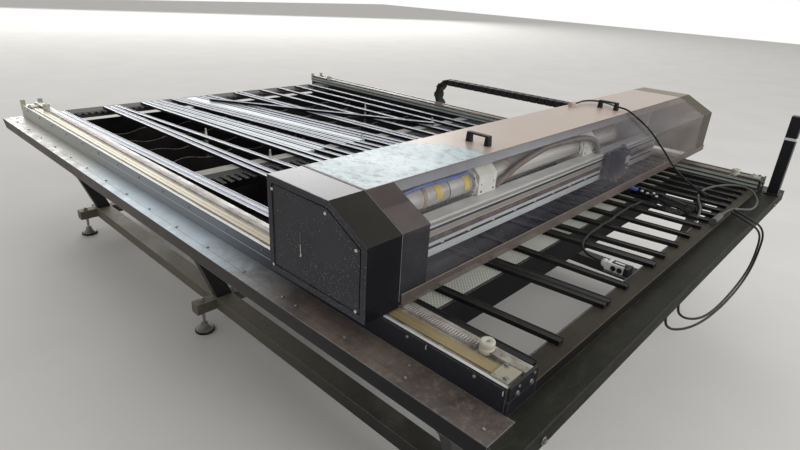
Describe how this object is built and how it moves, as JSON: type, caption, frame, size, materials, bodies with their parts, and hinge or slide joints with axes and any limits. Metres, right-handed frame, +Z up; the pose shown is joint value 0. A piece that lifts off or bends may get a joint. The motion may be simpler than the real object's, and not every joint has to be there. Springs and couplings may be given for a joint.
{
  "type": "laser cutting and engraving machine",
  "caption": "Large open-bed laser cutting machine: slatted table on a welded stand, rails and belts on both sides, and a hooded gantry with a clear front.",
  "frame": {"origin": "floor, under the middle of the whole machine with its hood", "axes": "+Z up, +Y along the rails to the back, +X across the table to the side with the cable chain"},
  "size_m": [2.857, 3.8255, 1.177],
  "materials": {
    "black_steel": "satin black paint with dust",
    "dusty_sheet": "brown-black folded sheet, dusty",
    "stand_paint": "black paint, dusty on top",
    "pad_grey": "light grey-green",
    "zinc": "bright zinc",
    "comb_sheet": "light notched sheet, worn",
    "slat_black": "dark slats, bright ridges",
    "tray_black": "sooty sheet",
    "rail_aluminium": "anodised extrusion",
    "guide_steel": "ground strip",
    "belt": "tan belt",
    "clamp_cream": "cream plate",
    "stop_rubber": "cream rubber",
    "hood_black": "charcoal sheet, dusty",
    "top_beige": "beige gloss sheet",
    "clear_cover": "brown-tinted clear cover",
    "beam_silver": "silver extrusion",
    "tube_glass": "clear glass",
    "support_white": "milky white",
    "strip_rose": "rose-brown strip",
    "edge_grey": "grey strip",
    "chain_black": "black links",
    "cable_black": "black cable",
    "cable_grey": "grey cable",
    "plug_white": "white plug body",
    "brass": "turned brass"
  },
  "bodies": {
    "table": {"base_frame": "stand_paint", "legs_near": "stand_paint", "legs_far": "stand_paint", "foot_studs": "zinc", "foot_pads": "pad_grey", "side_frame_near": "black_steel", "side_frame_far": "black_steel", "front_beam": "dusty_sheet", "ledge_near": "dusty_sheet", "ledge_far": "dusty_sheet", "ledge_front": "dusty_sheet", "front_comb": "comb_sheet", "middle_comb": "comb_sheet", "back_comb": "comb_sheet", "support_strip": "comb_sheet", "front_slats": "slat_black", "back_slats": "slat_black", "waste_tray": "tray_black", "front_tray": "tray_black", "tray_dividers": "tray_black", "guide_rail_near": "rail_aluminium", "guide_rail_far": "rail_aluminium", "linear_rails": "guide_steel", "drive_belts": "belt", "belt_clamps": "clamp_cream", "rail_stops": "stop_rubber", "stop_bars": "rail_aluminium", "front_end_plates": "black_steel", "back_end_brackets": "clamp_cream", "post": "black_steel", "cable_chain": "chain_black", "slat_connector": "plug_white", "cable_fitting": "cable_grey", "cable_glands": "cable_black", "hanging_cable_a": "cable_black", "hanging_cable_b": "cable_black", "coiled_cable": "cable_grey", "connector_cable": "cable_black", "cable_bundle": "cable_black"},
    "gantry": {"end_carriage_near": "beam_silver", "end_carriage_far": "beam_silver", "gantry_beam": "beam_silver", "head_guide": "guide_steel", "laser_tube": "tube_glass", "tube_supports": "support_white", "hood_cap_near": "hood_black", "cap_panel": "hood_black", "inner_housing": "hood_black", "hood_top": "top_beige", "hood_back": "top_beige", "top_edge_strip": "edge_grey", "hood_window": "clear_cover", "bottom_strip": "strip_rose", "hood_cap_far": "hood_black", "hood_handles": "black_steel", "hood_cable": "cable_black", "cable_plug": "cable_black"},
    "head": {"head_carriage": "beam_silver"},
    "focus": {"focus_slide": "black_steel", "nozzle": "brass"}
  },
  "joints": [
    {"name": "gantry_slide", "type": "slide", "parent": "table", "child": "gantry", "axis": [0, 1, 0], "range_m": [-0.255, 2.6], "deforming": ["cable_chain"]},
    {"name": "head_slide", "type": "slide", "parent": "gantry", "child": "head", "axis": [1, 0, 0], "range_m": [-1.4, 0.45]},
    {"name": "focus_slide_z", "type": "slide", "parent": "head", "child": "focus", "axis": [0, 0, 1], "range_m": [0, 0.03]}
  ]
}
